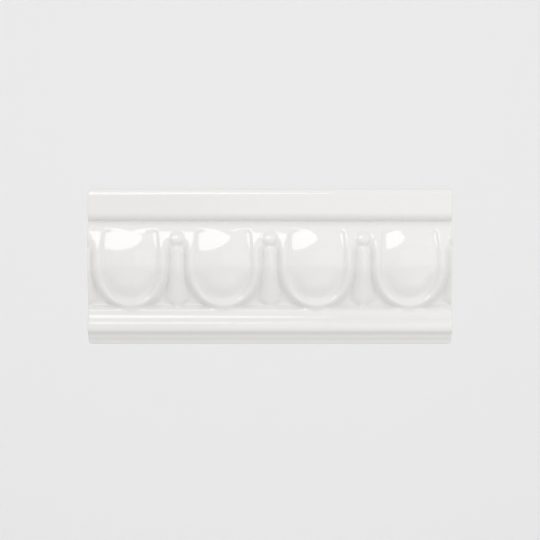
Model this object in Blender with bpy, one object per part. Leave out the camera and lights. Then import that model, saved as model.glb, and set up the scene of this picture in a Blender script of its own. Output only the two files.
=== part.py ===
"""Egg-and-dart moulding tile, one piece of glazed white ceramic that is set on a wall.

X runs along the moulding, Z goes up the wall, and the wall is the plane Y = 0, with the tile on its
-Y side. The origin is the middle of the tile's flat back. Lengths are in metres.
"""
import math

import bmesh
import bpy
import numpy as np

MM = 0.001

# Outline on the wall
TILE_LENGTH = 152 * MM
TILE_HEIGHT = 65 * MM
CORNER_RADIUS = 1.4 * MM
END_EDGE_RADIUS = 0.8 * MM
TOP_EDGE_RADIUS = 3 * MM
BOTTOM_EDGE_RADIUS = 0.8 * MM

# Pattern along the tile: it repeats over a tile and the grout joint beside it
EGGS = 4
GROUT_JOINT = 3 * MM
PITCH = (TILE_LENGTH + GROUT_JOINT) / EGGS

# Members of the section, from the top down: heights on the wall, and depths out from it
FASCIA_HEIGHT = 13.2 * MM
FASCIA_DEPTH = 14.2 * MM
FASCIA_FOOT_RADIUS = 2.8 * MM
BROW_DROP = 18.3 * MM
OVOLO_DEPTH = 17.2 * MM
OVOLO_RETURN = 8.1 * MM
QUIRK_TUCK = 0.1 * MM
FOOT_BELOW_NECK_TOP = 0.5 * MM
FALL_EASE = 0.25
NECK_HEIGHT = 5.3 * MM
NECK_DEPTH = 12.1 * MM
CAVETTO_HEIGHT = 4.8 * MM
CAVETTO_RISE = 1.6 * MM
TORUS_HEIGHT = 4.4 * MM
TORUS_DEPTH = 14.5 * MM
TORUS_ROUNDING = 1.3 * MM
BASE_HEIGHT = 5 * MM
BASE_DEPTH = 11.7 * MM
BASE_SLOPE = math.radians(19)
BASE_STEP = 0.5 * MM

# Levels that follow from the members
TOP = TILE_HEIGHT / 2
FASCIA_FOOT = TOP - FASCIA_HEIGHT
BROW = FASCIA_FOOT - BROW_DROP
BOTTOM = -TILE_HEIGHT / 2
BASE_TOP = BOTTOM + BASE_HEIGHT
TORUS_TOP = BASE_TOP + TORUS_HEIGHT
CAVETTO_TOP = TORUS_TOP + CAVETTO_HEIGHT
NECK_TOP = CAVETTO_TOP + NECK_HEIGHT

# Carving: it fades out under the fascia, and its ground sinks into the ovolo from there to the brow
PLAIN_STRIP = 2.2 * MM
FADE_HEIGHT = 3 * MM
GROUND_SINK = 3 * MM
SINK_START = 4.3 * MM
SINK_HEIGHT = 12 * MM

# Floor of the pockets between the shells' feet, and its rise to the neck
POCKET_DEPTH = 9.9 * MM
POCKET_RISE = 2.7 * MM

# Shell around each egg: an oval, wide open at the top, with a steep outer wall and a broad rim
SHELL_WIDTH = 30.6 * MM
SHELL_WALL = 2.2 * MM
SHELL_FOOT_DEPTH = 13.3 * MM
SHELL_ABOVE_CAVETTO = 0.7 * MM
OVAL_CENTRE_DROP = 1.7 * MM
OVAL_OPENING = 3.2

# Valley inside the shell's rim, that runs out under the egg, and the egg
VALLEY_WIDTH = 24.4 * MM
VALLEY_FLANK = 1 * MM
VALLEY_DEPTH = 1 * MM
VALLEY_ABOVE_CAVETTO = 2.3 * MM
VALLEY_END = (6 * MM, 13 * MM)
VALLEY_SIDE = (0.2, 0.85)
EGG_WIDTH = 21 * MM
EGG_TAPER = 0.13
EGG_SWELL = 1.2 * MM
EGG_BELLY = 2.2 * MM
EGG_BELLY_HEIGHT = 9 * MM
EGG_ABOVE_NECK = 0.4 * MM

# Dart between two shells, and the ball over it
DART_LENGTH = 25.8 * MM
DART_HEIGHT = 2.4 * MM
DART_TIP_ABOVE_CAVETTO = 0.9 * MM
DART_TURN = 7.5 * MM
DART_TURN_FULLNESS = 1.6
SHAFT_WIDTH = 6.2 * MM
BARB_WIDTH = 10 * MM
BARB_HEIGHT = 3.7 * MM
BARB_HOLLOW = 1.3
BALL_WIDTH = 6.2 * MM
BALL_HEIGHT = 1.2 * MM
BALL_GAP = 0.05 * MM
RING_WIDTH = 1.2 * MM
RING_DEPTH = 0.3 * MM

# Keying grooves in the unglazed back
KEY_GROOVES = 4
KEY_GROOVE_SPACING = 13 * MM
KEY_GROOVE_WIDTH = 2.5 * MM
KEY_GROOVE_DEPTH = 0.8 * MM
KEY_GROOVE_MARGIN = 9 * MM

# Fineness of the faceted solid, and how often its steps are eased
GRID_STEP = 0.6 * MM
GLAZE_PASSES = 1
KEPT_SHARE = 0.062

# Finish
GLAZE_COLOUR = (0.86, 0.86, 0.85, 1)
GLAZE_ROUGHNESS = 0.08


def smooth_step(low, high, value):
    """0 up to low, 1 from high on, and a smooth rise between them."""
    share = np.clip((value - low) / (high - low), 0, 1)
    return share * share * (3 - 2 * share)


def rounded_fall(radius, distance):
    """How far a quarter-round edge falls back at a distance in from its outer limit."""
    reach = np.clip(radius - distance, 0, radius)
    return radius - np.sqrt(radius * radius - reach * reach)


def crown(share, fullness=2):
    """1 at share 0 and 0 from share 1 on, along a quarter of a superellipse."""
    return (1 - np.clip(np.abs(share), 0, 1) ** fullness) ** (1 / fullness)


def offset_from_nearest(x, first):
    """Signed distance to the nearest of the places first, first + PITCH, first + 2 PITCH and so on."""
    turns = (x - first) / PITCH
    return (turns - np.round(turns)) * PITCH


def edge_fall(z):
    """How far the tile's top and bottom edges are rounded back."""
    return rounded_fall(TOP_EDGE_RADIUS, TOP - z) + rounded_fall(BOTTOM_EDGE_RADIUS, z - BOTTOM)


def fascia_depth(z):
    """Flat band under the tile's top edge, rounded over at its foot."""
    return np.where(z < FASCIA_FOOT, 0, FASCIA_DEPTH - rounded_fall(FASCIA_FOOT_RADIUS, z - FASCIA_FOOT))


def carving_fade(z):
    """Strength of the carving: none in the plain strip under the fascia, full from the fade's foot down."""
    fade_top = FASCIA_FOOT - PLAIN_STRIP
    return smooth_step(0, FADE_HEIGHT, fade_top - z)


def sink_share(z):
    """Share of its full depth that the ground has sunk: none high on the ovolo, all near the brow."""
    return smooth_step(0, SINK_HEIGHT, FASCIA_FOOT - SINK_START - z)


def eased_ramp(share, ease):
    """0 to 1 at an even pace, with an eased start and an eased end."""
    share = np.clip(share, 0, 1)
    start = np.minimum(share, ease) ** 2 / (2 * ease)
    middle = np.clip(share - ease, 0, 1 - 2 * ease)
    past = np.maximum(share - (1 - ease), 0)
    return (start + middle + past - past * past / (2 * ease)) / (1 - ease)


def share_above(foot, z):
    """1 down to the brow, and from there an even fall to 0 at a foot's level."""
    return 1 - eased_ramp((BROW - z) / (BROW - foot), FALL_EASE)


def ovolo_depth(z):
    """Ovolo's curve from the quirk to the brow, on which the shells lie, and its fall to their feet."""
    upper = OVOLO_DEPTH - OVOLO_RETURN * (1 - crown((z - BROW) / (BROW_DROP + QUIRK_TUCK)))
    foot = NECK_TOP - FOOT_BELOW_NECK_TOP
    lower = SHELL_FOOT_DEPTH + (OVOLO_DEPTH - SHELL_FOOT_DEPTH) * share_above(foot, z)
    return np.where(z > BROW, upper, lower)


def ground_depth(z):
    """Ground between the shells: sunk into the ovolo, down to the pockets, and up to the neck."""
    upper = ovolo_depth(z) - GROUND_SINK * sink_share(z)
    foot = CAVETTO_TOP + POCKET_RISE
    lower = POCKET_DEPTH + (OVOLO_DEPTH - GROUND_SINK - POCKET_DEPTH) * share_above(foot, z)
    rise = (NECK_DEPTH - POCKET_DEPTH) * smooth_step(0, POCKET_RISE, foot - z)
    return np.where(z > BROW, upper, lower + rise)


def cavetto_depth(z):
    """Hollow that runs out from the neck to the torus."""
    return NECK_DEPTH + CAVETTO_RISE * (1 - crown((CAVETTO_TOP - z) / CAVETTO_HEIGHT))


def torus_depth(z):
    """Full round band under the hollow."""
    middle = (TORUS_TOP + BASE_TOP) / 2
    return TORUS_DEPTH - TORUS_ROUNDING * (1 - crown((z - middle) / (TORUS_HEIGHT / 2), 2.5))


def base_depth(z):
    """Two narrow bands that slope back under the torus, the lower one a small step behind."""
    slope = math.tan(BASE_SLOPE) * (BASE_TOP - z)
    step = np.where(z < (BASE_TOP + BOTTOM) / 2, BASE_STEP, 0)
    return BASE_DEPTH - slope - step


def section_depth(z):
    """Depth of the moulding without its eggs and darts, at heights z."""
    depth = np.maximum(fascia_depth(z), ground_depth(z))
    depth = np.where(z < CAVETTO_TOP, cavetto_depth(z), depth)
    depth = np.where(z < TORUS_TOP, torus_depth(z), depth)
    return np.where(z < BASE_TOP, base_depth(z), depth)


def oval(u, z, width, foot):
    """Share of the way from an oval's centre to its rim, and the distance out from that rim."""
    centre = BROW - OVAL_CENTRE_DROP
    half_width = width / 2
    half_height = np.where(z > centre, half_width * OVAL_OPENING, centre - foot)
    across = u / half_width
    along = (z - centre) / half_height
    share = np.hypot(across, along)
    gradient = np.hypot(across / half_width, along / half_height) + 1e-9
    return share, (share - 1) * share / gradient


def egg_and_shell_height(u, z):
    """Height over the ground of one egg in its shell, at offsets u from the egg's middle."""
    wall_distance = oval(u, z, SHELL_WIDTH, CAVETTO_TOP + SHELL_ABOVE_CAVETTO)[1]
    on_shell = 1 - smooth_step(-SHELL_WALL / 2, SHELL_WALL / 2, wall_distance)
    shell = (ovolo_depth(z) - ground_depth(z)) * on_shell
    flank_distance = oval(u, z, VALLEY_WIDTH, CAVETTO_TOP + VALLEY_ABOVE_CAVETTO)[1]
    inside = 1 - smooth_step(-VALLEY_FLANK / 2, VALLEY_FLANK / 2, flank_distance)
    high = 1 - smooth_step(*VALLEY_END, BROW - z)
    beside = smooth_step(*VALLEY_SIDE, 2 * np.abs(u) / VALLEY_WIDTH)
    valley = VALLEY_DEPTH * inside * np.maximum(high, beside)
    low = smooth_step(0, EGG_BELLY_HEIGHT, BROW - OVAL_CENTRE_DROP - z)
    share = oval(u / (1 - EGG_TAPER * low), z, EGG_WIDTH, NECK_TOP + EGG_ABOVE_NECK)[0]
    egg = (EGG_SWELL + EGG_BELLY * low) * (1 - np.clip(share, 0, 1) ** 2)
    return shell + egg - valley


def dart_half_width(z):
    """Half of the dart's width: an arched top, a shaft that spreads to the barb, and a pointed tip."""
    tip = CAVETTO_TOP + DART_TIP_ABOVE_CAVETTO
    top = tip + DART_LENGTH
    barb = tip + BARB_HEIGHT
    spread = np.clip((top - z) / (top - barb), 0, 1) ** 2
    shaft = (SHAFT_WIDTH + (BARB_WIDTH - SHAFT_WIDTH) * spread) / 2
    arch = crown(np.clip(1 - (top - z) / (SHAFT_WIDTH / 2), 0, 1))
    point = BARB_WIDTH / 2 * np.clip((z - tip) / BARB_HEIGHT, 0, 1) ** BARB_HOLLOW
    return np.where(z > barb, shaft * arch, point)


def dart_height(v, z):
    """Height over the ground of one dart, at offsets v from its middle."""
    half_width = dart_half_width(z)
    inside = np.abs(v) < half_width
    share = np.where(inside, v / np.maximum(half_width, 1e-9), 1)
    tip = CAVETTO_TOP + DART_TIP_ABOVE_CAVETTO
    turned_down = crown(np.clip(1 - (z - tip) / DART_TURN, 0, 1), DART_TURN_FULLNESS)
    return DART_HEIGHT * sink_share(z) * turned_down * crown(share)


def ball_height(v, z):
    """Height over the ground of the ball over a dart, with a ring groove round it."""
    dart_top = CAVETTO_TOP + DART_TIP_ABOVE_CAVETTO + DART_LENGTH
    centre = dart_top + BALL_GAP + BALL_WIDTH / 2
    distance = np.hypot(v, z - centre)
    ring = RING_DEPTH * crown(2 * (distance - BALL_WIDTH / 2) / RING_WIDTH)
    return BALL_HEIGHT * crown(distance / (BALL_WIDTH / 2)) - ring


def front_depth(x, z):
    """Depth of the carved and moulded front at places x, z on the wall."""
    first_egg = -PITCH * (EGGS - 1) / 2
    u = offset_from_nearest(x, first_egg)
    v = offset_from_nearest(x, first_egg - PITCH / 2)
    ball = ball_height(v, z)
    raised = np.maximum(egg_and_shell_height(u, z), np.maximum(dart_height(v, z), np.maximum(ball, 0)))
    carving = raised + np.minimum(ball, 0)
    carved = section_depth(z) + carving_fade(z) * carving
    return np.where(z > CAVETTO_TOP, carved, section_depth(z))


def glaze_material():
    """Glossy white glaze."""
    material = bpy.data.materials.new("WhiteGlaze")
    material.use_nodes = True
    shader = material.node_tree.nodes["Principled BSDF"]
    shader.inputs["Base Color"].default_value = GLAZE_COLOUR
    shader.inputs["Roughness"].default_value = GLAZE_ROUGHNESS
    shader.inputs["Metallic"].default_value = 0
    return material


def softened(depth):
    """A grid of depths with its sharp steps eased, as a coat of glaze does."""
    for _ in range(GLAZE_PASSES):
        for axis in (0, 1):
            padded = np.pad(depth, [(1, 1) if axis == side else (0, 0) for side in (0, 1)], mode="edge")
            count = depth.shape[axis]
            before, here, after = (np.take(padded, range(k, k + count), axis) for k in range(3))
            depth = (before + 2 * here + after) / 4
    return depth


def tile_mesh():
    """Closed mesh of the tile: a carved grid in front, a flat copy as the back, and the edges between."""
    bm = bmesh.new()
    columns = round(TILE_LENGTH / GRID_STEP)
    rows = round(TILE_HEIGHT / GRID_STEP)
    bmesh.ops.create_grid(bm, x_segments=columns, y_segments=rows, size=1)
    shares = np.array([vert.co[:] for vert in bm.verts])
    z = shares[:, 1] * TILE_HEIGHT / 2
    half_length = TILE_LENGTH / 2 - rounded_fall(CORNER_RADIUS, TILE_HEIGHT / 2 - np.abs(z))
    x = shares[:, 0] * half_length
    depth = softened(front_depth(x, z).reshape(rows + 1, columns + 1)).ravel()
    depth -= edge_fall(z) + rounded_fall(END_EDGE_RADIUS, half_length - np.abs(x))
    for vert, place in zip(bm.verts, np.column_stack((x, -depth, z))):
        vert.co = place
    copy = bmesh.ops.duplicate(bm, geom=bm.faces[:])["geom"]
    for item in copy:
        if isinstance(item, bmesh.types.BMVert):
            item.co.y = 0
    bmesh.ops.reverse_faces(bm, faces=[item for item in copy if isinstance(item, bmesh.types.BMFace)])
    bmesh.ops.bridge_loops(bm, edges=[edge for edge in bm.edges if edge.is_boundary])
    bmesh.ops.recalc_face_normals(bm, faces=bm.faces[:])
    mesh = bpy.data.meshes.new("MouldingTile")
    bm.to_mesh(mesh)
    bm.free()
    return mesh


def add_key_groove_cutters(collection):
    """One bar for each keying groove, half of its thickness behind the back."""
    length = TILE_LENGTH - 2 * KEY_GROOVE_MARGIN
    for number in range(KEY_GROOVES):
        z = (number - (KEY_GROOVES - 1) / 2) * KEY_GROOVE_SPACING
        bpy.ops.mesh.primitive_cube_add(size=1, location=(0, 0, z))
        cutter = bpy.context.object
        cutter.name = f"key_groove_cutter_{number + 1}"
        cutter.scale = (length, 2 * KEY_GROOVE_DEPTH, KEY_GROOVE_WIDTH)
        cutter.hide_render = True
        cutter.display_type = "WIRE"
        for owner in cutter.users_collection:
            owner.objects.unlink(cutter)
        collection.objects.link(cutter)


def add_tile(collection, cutters):
    """The tile, with the keying grooves cut in its back, thinned to the facets that its form needs."""
    tile = bpy.data.objects.new("moulding_tile", tile_mesh())
    tile.data.materials.append(glaze_material())
    collection.objects.link(tile)
    cut = tile.modifiers.new("KeyGrooves", "BOOLEAN")
    cut.operation = "DIFFERENCE"
    cut.operand_type = "COLLECTION"
    cut.collection = cutters
    cut.solver = "EXACT"
    thin = tile.modifiers.new("Thin", "DECIMATE")
    thin.decimate_type = "COLLAPSE"
    thin.ratio = KEPT_SHARE
    thin.use_collapse_triangulate = True


def main():
    for old in list(bpy.data.objects):
        bpy.data.objects.remove(old, do_unlink=True)
    parts = bpy.data.collections.new("EggAndDartTile")
    cutters = bpy.data.collections.new("KeyGrooveCutters")
    bpy.context.scene.collection.children.link(parts)
    bpy.context.scene.collection.children.link(cutters)
    add_key_groove_cutters(cutters)
    add_tile(parts, cutters)


main()
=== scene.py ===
"""Looks of the egg-and-dart moulding tile: its glazed front at full detail, its bare biscuit back,
the studio and the camera. Lengths are in metres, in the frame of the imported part: X along the
moulding, Z up the wall, the wall at Y = 0 and the carved front towards -Y.
"""
import math

import bpy
import numpy as np
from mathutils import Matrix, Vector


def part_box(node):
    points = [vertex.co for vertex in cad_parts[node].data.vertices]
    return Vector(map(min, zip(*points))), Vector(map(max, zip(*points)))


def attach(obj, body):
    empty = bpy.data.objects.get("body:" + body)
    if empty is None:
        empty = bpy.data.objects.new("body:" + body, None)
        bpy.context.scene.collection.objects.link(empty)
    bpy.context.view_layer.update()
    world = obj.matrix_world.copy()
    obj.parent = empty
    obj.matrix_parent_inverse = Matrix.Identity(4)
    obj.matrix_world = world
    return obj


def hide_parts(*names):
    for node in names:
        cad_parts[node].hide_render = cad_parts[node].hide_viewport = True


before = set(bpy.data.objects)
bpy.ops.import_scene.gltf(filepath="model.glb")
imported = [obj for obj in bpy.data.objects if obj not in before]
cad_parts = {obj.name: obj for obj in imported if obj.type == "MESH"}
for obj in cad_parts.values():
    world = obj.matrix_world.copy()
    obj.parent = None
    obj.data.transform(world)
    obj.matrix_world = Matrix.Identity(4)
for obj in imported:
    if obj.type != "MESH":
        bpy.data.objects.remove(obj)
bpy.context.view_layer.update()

MM = 0.001

# Outline on the wall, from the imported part
LOW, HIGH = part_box("moulding_tile")
TILE_LENGTH = HIGH.x - LOW.x
TILE_HEIGHT = HIGH.z - LOW.z
CORNER_RADIUS = 1.4 * MM
END_EDGE_RADIUS = 0.8 * MM
TOP_EDGE_RADIUS = 3 * MM
BOTTOM_EDGE_RADIUS = 0.8 * MM

# Pattern along the tile: it repeats over a tile and the grout joint beside it
EGGS = 4
GROUT_JOINT = 3 * MM
PITCH = (TILE_LENGTH + GROUT_JOINT) / EGGS

# Members of the section, from the top down: heights on the wall, and depths out from it
FASCIA_HEIGHT = 13.2 * MM
FASCIA_DEPTH = 14.2 * MM
FASCIA_FOOT_RADIUS = 2.8 * MM
BROW_DROP = 18.3 * MM
OVOLO_DEPTH = 17.2 * MM
OVOLO_RETURN = 8.1 * MM
QUIRK_TUCK = 0.1 * MM
FOOT_BELOW_NECK_TOP = 0.5 * MM
FALL_EASE = 0.25
NECK_HEIGHT = 5.3 * MM
NECK_DEPTH = 12.1 * MM
CAVETTO_HEIGHT = 4.3 * MM
CAVETTO_RISE = 1.6 * MM
TORUS_HEIGHT = 4.9 * MM
TORUS_DEPTH = 14.5 * MM
TORUS_ROUNDING = 1.3 * MM
TORUS_FULLNESS = 2.5
BASE_HEIGHT = 5 * MM
BASE_DEPTH = 11.7 * MM
BASE_SLOPE = math.radians(25)
BASE_STEP = 0.9 * MM

# Levels that follow from the members
TOP = TILE_HEIGHT / 2
FASCIA_FOOT = TOP - FASCIA_HEIGHT
BROW = FASCIA_FOOT - BROW_DROP
BOTTOM = -TILE_HEIGHT / 2
BASE_TOP = BOTTOM + BASE_HEIGHT
TORUS_TOP = BASE_TOP + TORUS_HEIGHT
CAVETTO_TOP = TORUS_TOP + CAVETTO_HEIGHT
NECK_TOP = CAVETTO_TOP + NECK_HEIGHT

# Carving: it fades out under the fascia, and lower down its ground sinks into the ovolo
PLAIN_STRIP = 3.3 * MM
FADE_HEIGHT = 2.3 * MM
GROUND_SINK = 3 * MM
SINK_START = 7 * MM
SINK_HEIGHT = 9.5 * MM

# Floor of the pockets between the shells' feet, and its rise to the neck
POCKET_DEPTH = 9.2 * MM
POCKET_RISE = 2.2 * MM

# Shell around each egg: an oval, wide open at the top, with a steep outer wall and a broad rim
SHELL_WIDTH = 30.6 * MM
SHELL_WALL = 2.2 * MM
SHELL_FOOT_DEPTH = 13.3 * MM
SHELL_ABOVE_CAVETTO = 0.7 * MM
OVAL_CENTRE_DROP = 1.7 * MM
OVAL_OPENING = 3.2

# Valley inside the shell's rim, that runs out under the egg, and the egg
VALLEY_WIDTH = 24.4 * MM
VALLEY_FLANK = 1 * MM
VALLEY_DEPTH = 1 * MM
VALLEY_ABOVE_CAVETTO = 2.3 * MM
VALLEY_END = (6 * MM, 13 * MM)
VALLEY_SIDE = (0.2, 0.85)
EGG_WIDTH = 21 * MM
EGG_TAPER = 0.13
EGG_SWELL = 1.2 * MM
EGG_BELLY = 2.2 * MM
EGG_BELLY_HEIGHT = 9 * MM
EGG_ABOVE_NECK = 0.4 * MM

# Dart between two shells, and the ball over it
DART_LENGTH = 25.8 * MM
DART_HEIGHT = 2.4 * MM
DART_TIP_ABOVE_CAVETTO = 0.9 * MM
DART_TURN = 5.5 * MM
DART_TURN_FULLNESS = 1.6
SHAFT_WIDTH = 6.2 * MM
BARB_WIDTH = 10 * MM
BARB_HEIGHT = 3.7 * MM
BARB_HOLLOW = 1.1
BALL_WIDTH = 6.2 * MM
BALL_HEIGHT = 1 * MM
BALL_GAP = 0.05 * MM
RING_WIDTH = 1.2 * MM
RING_DEPTH = 0.3 * MM

# Coat of glaze: it gathers in hollows and rounds what it covers, and stops short of the back
POOL_REACH = 0.8 * MM
POOL_SHARE = 0.6
GLAZE_SOFTNESS = 0.3 * MM
GLAZE_THICKNESS = 0.2 * MM
GLAZE_LINE = 3.6 * MM
GLAZE_LINE_WAVES = ((3, 0.5 * MM), (7, 0.35 * MM), (19, 0.2 * MM), (43, 0.12 * MM))
GLAZE_LIP = 0.25 * MM

# Back: keying grooves and a worn arris
KEY_GROOVES = 4
KEY_GROOVE_SPACING = 13 * MM
KEY_GROOVE_WIDTH = 2.5 * MM
KEY_GROOVE_DEPTH = 0.8 * MM
KEY_GROOVE_MARGIN = 9 * MM
KEY_GROOVE_DRAFT = 0.3 * MM
BACK_ARRIS = 0.4 * MM
BACK_BORDER = 5 * MM

# Fineness of the mesh. The front's rows: lowest level of each zone from the top down, and the spacing
# in it. The back's steps: between columns, then between rows.
FIELD_STEP = 0.1 * MM
FIELD_MARGIN = 3 * MM
BLUR_REACHES = 2.5
SPACING_SAMPLES = 40001
CARVED_STEP = 0.355 * MM
EGG_MIDDLE_STEP = 0.64 * MM
EGG_MIDDLE_REACH = 7 * MM
ROW_ZONES = (
    (FASCIA_FOOT + FASCIA_FOOT_RADIUS, 0.9 * MM),
    (FASCIA_FOOT, 0.2 * MM),
    (FASCIA_FOOT - 1 * MM, 0.13 * MM),
    (FASCIA_FOOT - PLAIN_STRIP - FADE_HEIGHT, 0.3 * MM),
    (BROW + 3 * MM, 0.34 * MM),
    (BROW - 5 * MM, 0.55 * MM),
    (CAVETTO_TOP, 0.3 * MM),
    (TORUS_TOP, 0.27 * MM),
    (BASE_TOP - 0.4 * MM, 0.17 * MM),
    (BOTTOM, 0.2 * MM),
)
ARC_STEP = 0.3 * MM
LEAST_ARC_SHARE = 0.004
CORNER_REACH = 8 * MM
BACK_PLAIN_STEPS = (5 * MM, 1.5 * MM)
BACK_GROOVE_STEPS = (0.3 * MM, 0.15 * MM)
SHARP_ANGLE = math.radians(40)

# Photograph's frame
CAMERA_DISTANCE = 0.8
FRAME_WIDTH = 0.2249
SENSOR_WIDTH = 36
OUTLINE_DEPTH = FASCIA_DEPTH - END_EDGE_RADIUS
CAMERA_DROP = 1.5 * MM

# Places of the two materials in the tile's list
GLAZE = 0
BISCUIT = 1

# Glaze: tones from its thinnest to its thickest, the thickest darker in the hollows as gathered glaze and
# as painted shade, its clouds, and its relief as shares of the bump
GLAZE_AND_HOLLOW_SHADE_TONES = ((0, (0.852, 0.84, 0.815)), (0.37, (0.868, 0.86, 0.842)), (1, (0.81, 0.804, 0.787)))
GLAZE_GATHERING_AND_SHADE = (-0.3 * MM, 0.5 * MM)
GLAZE_MOTTLING_SIZE = 2.5 * MM
GLAZE_MOTTLING = 0.06
GLAZE_CLOUD_SIZE = 14 * MM
GLAZE_CLOUDS = 0.05
GLAZE_WAVE_SIZE = 7 * MM
GLAZE_PEEL_SIZE = 1.3 * MM
GLAZE_PEEL = 0.05
PINHOLE_SPACING = 7 * MM
PINHOLE_RADIUS = 0.12 * MM
PINHOLE_DEPTH = 0.6
GLAZE_BUMP = 0.05 * MM
GLAZE_ROUGHNESS = 0.07
GLAZE_IOR = 1.6

# Bare clay: tones from dark to light, its clouds, grain and specks, and its relief and pits
BISCUIT_TONES = ((0, (0.42, 0.33, 0.25)), (0.25, (0.66, 0.6, 0.52)), (0.8, (0.76, 0.72, 0.66)))
BISCUIT_CLOUD_SIZE = 18 * MM
BISCUIT_CLOUD_SPAN = (0.2, 0.8)
BISCUIT_GRAIN_SIZE = 0.5 * MM
BISCUIT_GRAIN_NOISE = (0.2, 0.8)
BISCUIT_GRAIN = 0.15
BISCUIT_TOOTH_SIZE = 0.4 * MM
BISCUIT_WAVE_SIZE = 5 * MM
SPECK_SPACING = 5 * MM
SPECK_RADIUS = 0.25 * MM
SPECK_DARKNESS = 0.6
PIT_SPACING = 3 * MM
PIT_RADIUS = 0.2 * MM
PIT_DEPTH = 1.5
BISCUIT_BUMP = 0.06 * MM
BISCUIT_ROUGHNESS = 0.85
BISCUIT_IOR = 1.4

# Share of a noise's whole span that it mostly keeps to, and of a dot's radius that is its full core
NOISE_SPAN = (0.3, 0.7)
DOT_CORE = 0.6

# Stage: its size, how far it lies below and behind the tile, and its tone
STAGE_SIZE = 8
FLOOR_DROP = 0.6
BACKDROP_DISTANCE = 1.5
BACKDROP_RAISE = 3
STAGE_TONE = (0.86, 0.86, 0.86)
STAGE_ROUGHNESS = 0.9
STAGE_GLOSS = 0.1

# Light: name, shape, centre, turn in degrees, size and radiance of each soft panel, then the even fill,
# and the key's further radiance in reflections alone, from a panel set a little behind it
LIGHT_PANELS = (
    ("key", "DISK", (-0.25, -0.6, 0.51), (90, 0, 0), (0.6, 0.6), 0.95),
    ("behind_camera", "RECTANGLE", (0.2, -0.9, 0.05), (90, 0, 0), (0.5, 0.5), 0.4),
    ("overhead", "RECTANGLE", (0, -0.3, 0.8), (0, 0, 0), (1.4, 0.6), 0.12),
    ("left", "RECTANGLE", (-0.8, -0.3, 0.2), (90, 0, -90), (0.6, 0.9), 0.22),
    ("right_low", "RECTANGLE", (0.4, -0.6, -0.34), (90, 0, 0), (0.66, 0.3), 0.22),
    ("right_high", "RECTANGLE", (0.41, -0.6, 0.455), (90, 0, 0), (0.66, 0.53), 0.16),
    ("right_near", "RECTANGLE", (0.3, -0.3, 0.12), (90, 0, 50), (0.2, 0.3), 0.5),
    ("right_near_low", "RECTANGLE", (0.3, -0.3, -0.12), (90, 0, 50), (0.2, 0.25), 0.5),
    ("backdrop_light", "RECTANGLE", (0, 0.5, 0.3), (90, 0, 0), (2.4, 1.6), 0.32),
)
FILL_STRENGTH = 0.79
KEY_GLINT = 1.8
GLINT_OFFSET = 10 * MM


def smooth_step(low, high, value):
    """0 up to low, 1 from high on, and a smooth rise between them."""
    share = np.clip((value - low) / (high - low), 0, 1)
    return share * share * (3 - 2 * share)


def rounded_fall(radius, distance):
    """How far a quarter-round edge falls back at a distance in from its outer limit."""
    reach = np.clip(radius - distance, 0, radius)
    return radius - np.sqrt(radius * radius - reach * reach)


def crown(share, fullness=2):
    """1 at share 0 and 0 from share 1 on, along a quarter of a superellipse."""
    return (1 - np.clip(np.abs(share), 0, 1) ** fullness) ** (1 / fullness)


def offset_from_nearest(x, first, pitch=PITCH):
    """Signed distance to the nearest of the places first, first + pitch, first + 2 pitch and so on."""
    turns = (x - first) / pitch
    return (turns - np.round(turns)) * pitch


def half_length(z):
    """Half of the tile's length at heights z, less near its rounded corners."""
    return TILE_LENGTH / 2 - rounded_fall(CORNER_RADIUS, TILE_HEIGHT / 2 - np.abs(z))


def edge_fall(x, z):
    """How far the tile's four front edges are rounded back."""
    top = rounded_fall(TOP_EDGE_RADIUS, TOP - z)
    bottom = rounded_fall(BOTTOM_EDGE_RADIUS, z - BOTTOM)
    ends = rounded_fall(END_EDGE_RADIUS, half_length(z) - np.abs(x))
    return top + bottom + ends


def fascia_depth(z):
    """Flat band under the tile's top edge, rounded over at its foot."""
    return np.where(z < FASCIA_FOOT, 0, FASCIA_DEPTH - rounded_fall(FASCIA_FOOT_RADIUS, z - FASCIA_FOOT))


def carving_fade(z):
    """Strength of the carving: none in the plain strip under the fascia, full from the fade's foot down."""
    fade_top = FASCIA_FOOT - PLAIN_STRIP
    return smooth_step(0, FADE_HEIGHT, fade_top - z)


def sink_share(z):
    """Share of its full depth that the ground has sunk: none high on the ovolo, all near the brow."""
    return smooth_step(0, SINK_HEIGHT, FASCIA_FOOT - SINK_START - z)


def eased_ramp(share, ease):
    """0 to 1 at an even pace, with an eased start and an eased end."""
    share = np.clip(share, 0, 1)
    start = np.minimum(share, ease) ** 2 / (2 * ease)
    middle = np.clip(share - ease, 0, 1 - 2 * ease)
    past = np.maximum(share - (1 - ease), 0)
    return (start + middle + past - past * past / (2 * ease)) / (1 - ease)


def share_above(foot, z):
    """1 down to the brow, and from there an even fall to 0 at a foot's level."""
    return 1 - eased_ramp((BROW - z) / (BROW - foot), FALL_EASE)


def ovolo_depth(z):
    """Ovolo's curve from the quirk to the brow, on which the shells lie, and its fall to their feet."""
    upper = OVOLO_DEPTH - OVOLO_RETURN * (1 - crown((z - BROW) / (BROW_DROP + QUIRK_TUCK)))
    foot = NECK_TOP - FOOT_BELOW_NECK_TOP
    lower = SHELL_FOOT_DEPTH + (OVOLO_DEPTH - SHELL_FOOT_DEPTH) * share_above(foot, z)
    return np.where(z > BROW, upper, lower)


def pocket_rise(z):
    """Rise of the ground from the pockets' floor to the neck."""
    return (NECK_DEPTH - POCKET_DEPTH) * smooth_step(0, POCKET_RISE, CAVETTO_TOP + POCKET_RISE - z)


def ground_depth(z):
    """Ground between the shells: sunk into the ovolo, down to the pockets, and up to the neck."""
    upper = ovolo_depth(z) - GROUND_SINK * sink_share(z)
    foot = CAVETTO_TOP + POCKET_RISE
    lower = POCKET_DEPTH + (OVOLO_DEPTH - GROUND_SINK - POCKET_DEPTH) * share_above(foot, z)
    return np.where(z > BROW, upper, lower + pocket_rise(z))


def cavetto_depth(z):
    """Hollow that runs out from the neck to the torus."""
    return NECK_DEPTH + CAVETTO_RISE * (1 - crown((CAVETTO_TOP - z) / CAVETTO_HEIGHT))


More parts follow.
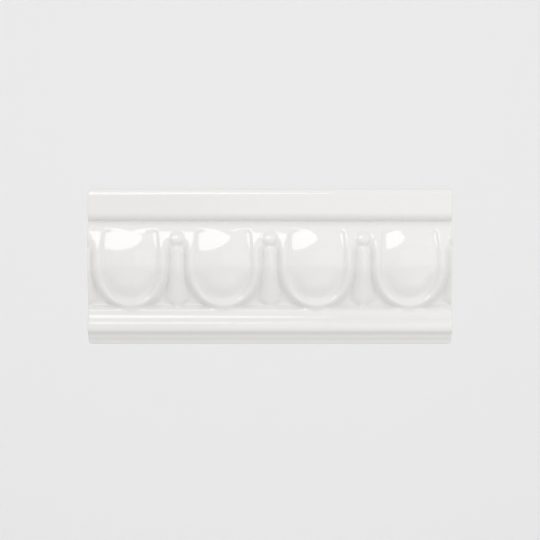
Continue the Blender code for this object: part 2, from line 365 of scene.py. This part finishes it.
def torus_depth(z):
    """Full round band under the hollow."""
    middle = (TORUS_TOP + BASE_TOP) / 2
    share = (z - middle) / (TORUS_HEIGHT / 2)
    return TORUS_DEPTH - TORUS_ROUNDING * (1 - crown(share, TORUS_FULLNESS))


def base_depth(z):
    """Two narrow bands that slope back under the torus, the lower one a small step behind."""
    slope = math.tan(BASE_SLOPE) * (BASE_TOP - z)
    step = np.where(z < (BASE_TOP + BOTTOM) / 2, BASE_STEP, 0)
    return BASE_DEPTH - slope - step


def section_depth(z):
    """Depth of the moulding without its eggs and darts, at heights z."""
    depth = np.maximum(fascia_depth(z), ground_depth(z))
    depth = np.where(z < CAVETTO_TOP, cavetto_depth(z), depth)
    depth = np.where(z < TORUS_TOP, torus_depth(z), depth)
    return np.where(z < BASE_TOP, base_depth(z), depth)


def oval(u, z, width, foot):
    """Share of the way from an oval's centre to its rim, and the distance out from that rim."""
    centre = BROW - OVAL_CENTRE_DROP
    half_width = width / 2
    half_height = np.where(z > centre, half_width * OVAL_OPENING, centre - foot)
    across = u / half_width
    along = (z - centre) / half_height
    share = np.hypot(across, along)
    gradient = np.hypot(across / half_width, along / half_height) + 1e-9
    return share, (share - 1) * share / gradient


def egg_and_shell_height(u, z):
    """Height over the ground of one egg in its shell, at offsets u from the egg's middle."""
    wall_distance = oval(u, z, SHELL_WIDTH, CAVETTO_TOP + SHELL_ABOVE_CAVETTO)[1]
    on_shell = 1 - smooth_step(-SHELL_WALL / 2, SHELL_WALL / 2, wall_distance)
    shell = (ovolo_depth(z) - ground_depth(z)) * on_shell
    low = smooth_step(0, EGG_BELLY_HEIGHT, BROW - OVAL_CENTRE_DROP - z)
    share = oval(u / (1 - EGG_TAPER * low), z, EGG_WIDTH, NECK_TOP + EGG_ABOVE_NECK)[0]
    return shell + (EGG_SWELL + EGG_BELLY * low) * (1 - np.clip(share, 0, 1) ** 2)


def valley_depth(u, z):
    """Depth of the valley inside a shell's rim, at offsets u from the egg's middle."""
    flank_distance = oval(u, z, VALLEY_WIDTH, CAVETTO_TOP + VALLEY_ABOVE_CAVETTO)[1]
    inside = 1 - smooth_step(-VALLEY_FLANK / 2, VALLEY_FLANK / 2, flank_distance)
    high = 1 - smooth_step(*VALLEY_END, BROW - z)
    beside = smooth_step(*VALLEY_SIDE, 2 * np.abs(u) / VALLEY_WIDTH)
    return VALLEY_DEPTH * inside * np.maximum(high, beside)


def dart_half_width(z):
    """Half of the dart's width: an arched top, a shaft that spreads to the barb, and a pointed tip."""
    tip = CAVETTO_TOP + DART_TIP_ABOVE_CAVETTO
    top = tip + DART_LENGTH
    barb = tip + BARB_HEIGHT
    spread = np.clip((top - z) / (top - barb), 0, 1) ** 2
    shaft = (SHAFT_WIDTH + (BARB_WIDTH - SHAFT_WIDTH) * spread) / 2
    arch = crown(np.clip(1 - (top - z) / (SHAFT_WIDTH / 2), 0, 1))
    point = BARB_WIDTH / 2 * np.clip((z - tip) / BARB_HEIGHT, 0, 1) ** BARB_HOLLOW
    return np.where(z > barb, shaft * arch, point)


def dart_height(v, z):
    """Height over the ground of one dart, at offsets v from its middle."""
    half_width = dart_half_width(z)
    inside = np.abs(v) < half_width
    share = np.where(inside, v / np.maximum(half_width, 1e-9), 1)
    tip = CAVETTO_TOP + DART_TIP_ABOVE_CAVETTO
    turned_down = crown(np.clip(1 - (z - tip) / DART_TURN, 0, 1), DART_TURN_FULLNESS)
    height = DART_HEIGHT * sink_share(z) * turned_down * (1 - share * share)
    return height - pocket_rise(z)


def ball_height(v, z):
    """Height over the ground of the ball over a dart, with a ring groove round it."""
    dart_top = CAVETTO_TOP + DART_TIP_ABOVE_CAVETTO + DART_LENGTH
    centre = dart_top + BALL_GAP + BALL_WIDTH / 2
    distance = np.hypot(v, z - centre)
    ring = RING_DEPTH * crown(2 * (distance - BALL_WIDTH / 2) / RING_WIDTH)
    return BALL_HEIGHT * crown(distance / (BALL_WIDTH / 2)) - ring


def front_depth(x, z):
    """Depth of the carved and moulded front at places x, z on the wall, before it is glazed."""
    first_egg = -PITCH * (EGGS - 1) / 2
    u = offset_from_nearest(x, first_egg)
    v = offset_from_nearest(x, first_egg - PITCH / 2)
    ball = ball_height(v, z)
    raised = np.maximum(egg_and_shell_height(u, z), np.maximum(dart_height(v, z), np.maximum(ball, 0)))
    carving = raised + np.minimum(ball, 0) - valley_depth(u, z)
    carved = section_depth(z) + carving_fade(z) * carving
    return np.where(z > CAVETTO_TOP, carved, section_depth(z))


def blurred(field, reach):
    """A field of depths smoothed by a bell curve of that reach."""
    taps = math.ceil(BLUR_REACHES * reach / FIELD_STEP)
    shifts = range(-taps, taps + 1)
    weights = np.array([math.exp(-0.5 * (shift * FIELD_STEP / reach) ** 2) for shift in shifts])
    weights /= weights.sum()
    for axis in (0, 1):
        field = sum(weight * np.roll(field, shift, axis) for weight, shift in zip(weights, shifts))
    return field


class GlazedField:
    """Depth of the glazed front and the gathering of its glaze, which also darkens the hollows' colour as
    painted shade, kept on a fine grid and read anywhere.
    """

    def __init__(self):
        self.x = np.arange(-TILE_LENGTH / 2 - FIELD_MARGIN, TILE_LENGTH / 2 + FIELD_MARGIN, FIELD_STEP)
        self.z = np.arange(BOTTOM - FIELD_MARGIN, TOP + FIELD_MARGIN, FIELD_STEP)
        x, z = np.meshgrid(self.x, self.z)
        bare = front_depth(x, z)
        hollow = blurred(bare, POOL_REACH) - bare
        self.depth = blurred(bare + POOL_SHARE * np.maximum(hollow, 0), GLAZE_SOFTNESS)
        # Gathering in the hollows: it darkens the glaze colour there, partly as thicker glaze and partly as
        # painted shade
        self.gathering_and_shade = blurred(hollow, GLAZE_SOFTNESS)

    def read(self, values, x, z):
        """Values of one of the fields at places x, z, between its grid's points."""
        column = (x - self.x[0]) / FIELD_STEP
        row = (z - self.z[0]) / FIELD_STEP
        i = np.floor(row).astype(int)
        j = np.floor(column).astype(int)
        up = row - i
        along = column - j
        lower = values[i, j] * (1 - along) + values[i, j + 1] * along
        upper = values[i + 1, j] * (1 - along) + values[i + 1, j + 1] * along
        return lower * (1 - up) + upper * up


def spaced(start, end, step_at):
    """Places from start to end, each about step_at(place) from the next."""
    fine = np.linspace(start, end, SPACING_SAMPLES)
    density = 1 / step_at(fine)
    count = np.concatenate(([0], np.cumsum((density[1:] + density[:-1]) / 2 * np.diff(fine))))
    return np.interp(np.linspace(0, count[-1], round(count[-1]) + 1), count, fine)


def arc_step(radius, distance):
    """Spacing near a rounded edge that keeps the places even along its arc, and no limit elsewhere."""
    turn = np.clip(1 - distance / radius, 0, 1)
    step = ARC_STEP * np.sqrt(np.maximum(1 - turn * turn, LEAST_ARC_SHARE))
    return np.where(turn > 0, step, np.inf)


def column_step(x):
    """Spacing of the front's columns: closer over the shells' walls, the grooves and the darts."""
    u = np.abs(offset_from_nearest(x, PITCH / 2))
    body = np.where(u < EGG_MIDDLE_REACH, EGG_MIDDLE_STEP, CARVED_STEP)
    return np.minimum(body, arc_step(END_EDGE_RADIUS, TILE_LENGTH / 2 - np.abs(x)))


def row_step(z):
    """Spacing of the front's rows: closer where the section turns and where the eggs and darts end."""
    levels, steps = zip(*ROW_ZONES)
    body = np.select([z >= level for level in levels], steps, steps[-1])
    top = arc_step(TOP_EDGE_RADIUS, TOP - z)
    bottom = arc_step(BOTTOM_EDGE_RADIUS, z - BOTTOM)
    return np.minimum(body, np.minimum(top, bottom))


def key_groove_depth(x, z):
    """Depth of the keying grooves into the back, each a slot with round ends."""
    low = -KEY_GROOVE_SPACING * (KEY_GROOVES - 1) / 2
    beside = offset_from_nearest(np.clip(z, low, -low), low, KEY_GROOVE_SPACING) + z - np.clip(z, low, -low)
    reach = TILE_LENGTH / 2 - KEY_GROOVE_MARGIN - KEY_GROOVE_WIDTH / 2
    beyond = np.maximum(np.abs(x) - reach, 0)
    distance = np.hypot(beside, beyond) - KEY_GROOVE_WIDTH / 2
    return KEY_GROOVE_DEPTH * (1 - smooth_step(-KEY_GROOVE_DRAFT, KEY_GROOVE_DRAFT, distance))


def back_column_step(x):
    """Spacing of the back's columns: closer round the grooves' ends."""
    end = TILE_LENGTH / 2 - KEY_GROOVE_MARGIN
    near = np.abs(np.abs(x) - end + KEY_GROOVE_WIDTH / 2) < KEY_GROOVE_WIDTH
    return np.where(near, BACK_GROOVE_STEPS[0], BACK_PLAIN_STEPS[0])


def back_row_step(z):
    """Spacing of the back's rows: closer over the grooves' walls."""
    low = -KEY_GROOVE_SPACING * (KEY_GROOVES - 1) / 2
    beside = np.abs(offset_from_nearest(z, low, KEY_GROOVE_SPACING))
    near = np.abs(beside - KEY_GROOVE_WIDTH / 2) < 2 * KEY_GROOVE_DRAFT
    near &= np.abs(z) < -low + KEY_GROOVE_SPACING / 2
    return np.where(near, BACK_GROOVE_STEPS[1], BACK_PLAIN_STEPS[1])


def quads(index):
    """Faces between the neighbours of a table of vertex numbers."""
    corners = (index[:-1, :-1], index[:-1, 1:], index[1:, 1:], index[1:, :-1])
    return np.stack([corner.ravel() for corner in corners], axis=1).tolist()


def rim_of(index):
    """The four sides of a table of vertex numbers, each running on from the last."""
    return [index[0, :], index[:, -1], index[-1, ::-1], index[::-1, 0]]


class MeshParts:
    """Vertices and faces of the tile as they are put together."""

    def __init__(self):
        self.places = []
        self.faces = []
        self.materials = []
        self.gathering_and_shade = []
        self.count = 0

    def add_places(self, x, y, z, gathering_and_shade=0.0):
        """Adds vertices, and returns their numbers in a table of the same shape."""
        shape = np.broadcast(x, y, z).shape
        self.places.append(np.stack([np.broadcast_to(v, shape).ravel() for v in (x, y, z)], axis=1))
        self.gathering_and_shade.append(np.broadcast_to(gathering_and_shade, shape).ravel())
        index = self.count + np.arange(math.prod(shape)).reshape(shape)
        self.count += math.prod(shape)
        return index

    def add_faces(self, faces, material):
        self.faces += faces
        self.materials += [material] * len(faces)

    def mesh(self, name):
        made = bpy.data.meshes.new(name)
        made.from_pydata(np.concatenate(self.places).tolist(), [], self.faces)
        made.polygons.foreach_set("material_index", self.materials)
        # Gathering of each vertex, read by the glaze to darken the hollows as painted shade
        attribute = made.attributes.new("glaze_gathering_and_shade", "FLOAT", "POINT")
        attribute.data.foreach_set("value", np.concatenate(self.gathering_and_shade).astype(np.float32))
        made.shade_smooth()
        made.set_sharp_from_angle(angle=SHARP_ANGLE)
        return made


def glaze_line(turn):
    """Depth from the wall at which the glaze ends on the tile's edges, wavering as one goes round them."""
    return GLAZE_LINE + sum(size * np.sin(waves * turn + waves) for waves, size in GLAZE_LINE_WAVES)


def add_front(parts):
    """The glazed front. Returns the table of its vertex numbers."""
    field = GlazedField()
    column_places = spaced(-TILE_LENGTH / 2, TILE_LENGTH / 2, column_step)
    row_places = spaced(BOTTOM, TOP, row_step)
    x, z = np.meshgrid(column_places, row_places)
    pull = np.clip((np.abs(x) - TILE_LENGTH / 2 + CORNER_REACH) / CORNER_REACH, 0, 1)
    x = x - np.sign(x) * pull * (TILE_LENGTH / 2 - half_length(z))
    depth = field.read(field.depth, x, z) - edge_fall(x, z)
    index = parts.add_places(x, -depth, z, field.read(field.gathering_and_shade, x, z))
    parts.add_faces(quads(index), GLAZE)
    return index


def add_edges(parts, front):
    """The tile's four edges: glazed down to the glaze line, and bare from there to the back.

    Returns the vertex numbers of the last ring, on the wall.
    """
    places = np.concatenate(parts.places)
    rim = np.concatenate([side[:-1] for side in rim_of(front)])
    x, y, z = places[rim].T
    turn = np.arctan2(z / TILE_HEIGHT, x / TILE_LENGTH)
    ahead = np.roll(np.stack((x, z)), -1, axis=1) - np.roll(np.stack((x, z)), 1, axis=1)
    ahead /= np.hypot(*ahead)
    inward = (-ahead[1], ahead[0])
    line = glaze_line(turn)
    rings = (
        (line + 3 * GLAZE_LIP, 0, GLAZE),
        (line + GLAZE_LIP, 0, GLAZE),
        (line + GLAZE_LIP / 3, 0.3 * GLAZE_THICKNESS, GLAZE),
        (line, GLAZE_THICKNESS, GLAZE),
        (line - GLAZE_LIP, GLAZE_THICKNESS, BISCUIT),
        (2 * BACK_ARRIS, GLAZE_THICKNESS, BISCUIT),
        (BACK_ARRIS, GLAZE_THICKNESS, BISCUIT),
        (0.3 * BACK_ARRIS, GLAZE_THICKNESS + 0.3 * BACK_ARRIS, BISCUIT),
        (0, GLAZE_THICKNESS + BACK_ARRIS, BISCUIT),
    )
    last = rim
    for depth, inset, material in rings:
        ring = parts.add_places(x + inset * inward[0], -depth, z + inset * inward[1])
        parts.add_faces(quads(np.stack((np.append(ring, ring[0]), np.append(last, last[0])))), material)
        last = ring
    return last


def add_back(parts, rim, front_shape):
    """The bare back with its keying grooves, and the flat border that joins it to the edges."""
    columns = spaced(-TILE_LENGTH / 2 + BACK_BORDER, TILE_LENGTH / 2 - BACK_BORDER, back_column_step)
    rows = spaced(BOTTOM + BACK_BORDER, TOP - BACK_BORDER, back_row_step)
    x, z = np.meshgrid(columns, rows)
    index = parts.add_places(x, -key_groove_depth(x, z), z)
    parts.add_faces(quads(index[:, ::-1]), BISCUIT)
    places = np.concatenate(parts.places)
    loop = np.append(rim, rim[0])
    start = 0
    for number, inner in enumerate(rim_of(index)):
        length = front_shape[1] if number % 2 == 0 else front_shape[0]
        outer = loop[start:start + length]
        axis = 0 if number % 2 == 0 else 2
        gaps = np.abs(places[outer, axis][None, :] - places[inner, axis][:, None])
        nearest = gaps.argmin(axis=1)
        nearest[0] = 0
        nearest[-1] = length - 1
        for here, there, near, far in zip(inner[:-1], inner[1:], nearest[:-1], nearest[1:]):
            parts.add_faces([[int(here), int(there), *outer[near:far + 1][::-1].tolist()]], BISCUIT)
        start += length - 1


def socket(node, name, value):
    node.inputs[name].default_value = value


class Finish:
    """A material and the nodes that make its finish."""

    def __init__(self, name):
        self.material = bpy.data.materials.new(name)
        self.material.use_nodes = True
        self.tree = self.material.node_tree
        self.shader = self.tree.nodes["Principled BSDF"]
        self.place = self.node("ShaderNodeTexCoord").outputs["Object"]

    def node(self, kind, links=(), values=(), **settings):
        """A node with its settings, its inputs' links and its inputs' values."""
        made = self.tree.nodes.new(kind)
        for key, value in settings.items():
            setattr(made, key, value)
        for key, value in dict(values).items():
            made.inputs[key].default_value = value
        for key, source in dict(links).items():
            self.tree.links.new(source, made.inputs[key])
        return made

    def noise(self, size, detail=2):
        """Cloudy noise whose features are about that size."""
        values = {"Scale": 1 / size, "Detail": detail}
        return self.node("ShaderNodeTexNoise", {"Vector": self.place}, values).outputs["Fac"]

    def dots(self, spacing, radius):
        """1 in scattered round dots, 0 between them."""
        cells = self.node("ShaderNodeTexVoronoi", {"Vector": self.place}, {"Scale": 1 / spacing})
        share = radius / spacing
        return self.mapped(cells.outputs["Distance"], (DOT_CORE * share, share), (1, 0))

    def mapped(self, source, before, after):
        """A value carried from one span to another."""
        values = dict(zip(("From Min", "From Max", "To Min", "To Max"), (*before, *after)))
        return self.node("ShaderNodeMapRange", {"Value": source}, values).outputs["Result"]

    def total(self, *sources):
        """Sum of values."""
        result = sources[0]
        for source in sources[1:]:
            result = self.node("ShaderNodeMath", {0: result, 1: source}, operation="ADD").outputs[0]
        return result

    def colour(self, source, stops):
        """Sets the base colour along a ramp of places and colours."""
        ramp = self.node("ShaderNodeValToRGB", {"Fac": source})
        elements = ramp.color_ramp.elements
        while len(elements) < len(stops):
            elements.new(0.5)
        for element, (place, colour) in zip(elements, stops):
            element.position = place
            element.color = (*colour, 1)
        self.tree.links.new(ramp.outputs["Color"], self.shader.inputs["Base Color"])

    def bump(self, source, height):
        """Sets the fine relief: a value of 1 stands that high."""
        made = self.node("ShaderNodeBump", {"Height": source}, {"Distance": height})
        self.tree.links.new(made.outputs["Normal"], self.shader.inputs["Normal"])


def glaze_material():
    """Glossy white glaze, a little warm: thinner on the edges, darker where it gathers in the hollows
    (partly the thicker glaze, partly painted shade), softly wavy.
    """
    finish = Finish("WhiteGlaze")
    # Darker in the hollows: partly the gathered glaze's own tone, partly painted shade
    gathering_and_shade = finish.node("ShaderNodeAttribute", attribute_name="glaze_gathering_and_shade").outputs["Fac"]
    gathered_shade = finish.mapped(gathering_and_shade, GLAZE_GATHERING_AND_SHADE, (0, 1))
    mottling = finish.noise(GLAZE_MOTTLING_SIZE, detail=4)
    mottling = finish.mapped(mottling, NOISE_SPAN, (-GLAZE_MOTTLING, GLAZE_MOTTLING))
    clouds = finish.noise(GLAZE_CLOUD_SIZE)
    clouds = finish.mapped(clouds, NOISE_SPAN, (-GLAZE_CLOUDS, GLAZE_CLOUDS))
    finish.colour(finish.total(gathered_shade, mottling, clouds), GLAZE_AND_HOLLOW_SHADE_TONES)
    waves = finish.noise(GLAZE_WAVE_SIZE, detail=1)
    peel = finish.mapped(finish.noise(GLAZE_PEEL_SIZE, detail=1), (0, 1), (0, GLAZE_PEEL))
    pinholes = finish.mapped(finish.dots(PINHOLE_SPACING, PINHOLE_RADIUS), (0, 1), (0, -PINHOLE_DEPTH))
    finish.bump(finish.total(waves, peel, pinholes), GLAZE_BUMP)
    socket(finish.shader, "Roughness", GLAZE_ROUGHNESS)
    socket(finish.shader, "IOR", GLAZE_IOR)
    return finish.material


def biscuit_material():
    """Bare fired clay: off-white, matt, finely grained, with clouds and a few dark specks."""
    finish = Finish("Biscuit")
    clouds = finish.mapped(finish.noise(BISCUIT_CLOUD_SIZE, detail=3), NOISE_SPAN, BISCUIT_CLOUD_SPAN)
    grain = finish.noise(BISCUIT_GRAIN_SIZE, detail=3)
    grain = finish.mapped(grain, BISCUIT_GRAIN_NOISE, (-BISCUIT_GRAIN, BISCUIT_GRAIN))
    specks = finish.mapped(finish.dots(SPECK_SPACING, SPECK_RADIUS), (0, 1), (0, -SPECK_DARKNESS))
    finish.colour(finish.total(clouds, grain, specks), BISCUIT_TONES)
    tooth = finish.noise(BISCUIT_TOOTH_SIZE, detail=4)
    waves = finish.noise(BISCUIT_WAVE_SIZE)
    pits = finish.mapped(finish.dots(PIT_SPACING, PIT_RADIUS), (0, 1), (0, -PIT_DEPTH))
    finish.bump(finish.total(tooth, waves, pits), BISCUIT_BUMP)
    socket(finish.shader, "Roughness", BISCUIT_ROUGHNESS)
    socket(finish.shader, "IOR", BISCUIT_IOR)
    return finish.material


def make_tile():
    """The whole tile as one piece, in place of the faceted solid."""
    parts = MeshParts()
    front = add_front(parts)
    back_rim = add_edges(parts, front)
    add_back(parts, back_rim, front.shape)
    tile = bpy.data.objects.new("glazed_tile", parts.mesh("GlazedTile"))
    tile.data.materials.append(glaze_material())
    tile.data.materials.append(biscuit_material())
    bpy.context.scene.collection.objects.link(tile)
    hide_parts("moulding_tile")
    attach(tile, "root")
    return tile


def plain_material(name, colour):
    """Even matt colour for the stage."""
    material = bpy.data.materials.new(name)
    material.use_nodes = True
    shader = material.node_tree.nodes["Principled BSDF"]
    socket(shader, "Base Color", (*colour, 1))
    socket(shader, "Roughness", STAGE_ROUGHNESS)
    socket(shader, "Specular IOR Level", STAGE_GLOSS)
    return material


def add_stage():
    """A pale floor well under the tile, and a pale backdrop far behind it."""
    pale = plain_material("PaleStage", STAGE_TONE)
    bpy.ops.mesh.primitive_plane_add(size=STAGE_SIZE, location=(0, 0, -FLOOR_DROP))
    floor = bpy.context.object
    floor.name = "floor"
    upright = (math.pi / 2, 0, 0)
    centre = (0, BACKDROP_DISTANCE, BACKDROP_RAISE)
    bpy.ops.mesh.primitive_plane_add(size=STAGE_SIZE, location=centre, rotation=upright)
    backdrop = bpy.context.object
    backdrop.name = "backdrop"
    for thing in (floor, backdrop):
        thing.data.materials.append(pale)


def add_panel(name, shape, centre, turn, size, radiance):
    """A soft light panel, round or rectangular, of an even radiance."""
    light = bpy.data.lights.new(name, "AREA")
    light.shape = shape
    light.size, light.size_y = size
    area = math.prod(size) * (math.pi / 4 if shape == "DISK" else 1)
    light.energy = radiance * math.pi * area
    panel = bpy.data.objects.new(name, light)
    panel.location = centre
    panel.rotation_euler = [math.radians(angle) for angle in turn]
    panel.visible_camera = False
    bpy.context.scene.collection.objects.link(panel)
    return panel


def add_lights():
    """Soft panels, the key's glint, and an even studio fill."""
    for panel in LIGHT_PANELS:
        add_panel(*panel)
    _, shape, (x, y, z), turn, size, _ = LIGHT_PANELS[0]
    glint = add_panel("key_glint", shape, (x, y - GLINT_OFFSET, z), turn, size, KEY_GLINT)
    glint.visible_diffuse = False
    world = bpy.data.worlds.new("StudioFill")
    bpy.context.scene.world = world
    world.use_nodes = True
    background = world.node_tree.nodes["Background"]
    socket(background, "Color", (1, 1, 1, 1))
    socket(background, "Strength", FILL_STRENGTH)


def add_camera():
    """The photograph's view: square on to the wall, level with the tile."""
    camera = bpy.data.cameras.new("camera")
    camera.sensor_width = SENSOR_WIDTH
    camera.lens = SENSOR_WIDTH * CAMERA_DISTANCE / FRAME_WIDTH
    viewer = bpy.data.objects.new("camera", camera)
    viewer.location = (0, -CAMERA_DISTANCE - OUTLINE_DEPTH, -CAMERA_DROP)
    viewer.rotation_euler = (math.pi / 2, 0, 0)
    bpy.context.scene.collection.objects.link(viewer)
    bpy.context.scene.camera = viewer


def main():
    make_tile()
    add_stage()
    add_lights()
    add_camera()
    bpy.context.scene.view_settings.view_transform = "Standard"


main()
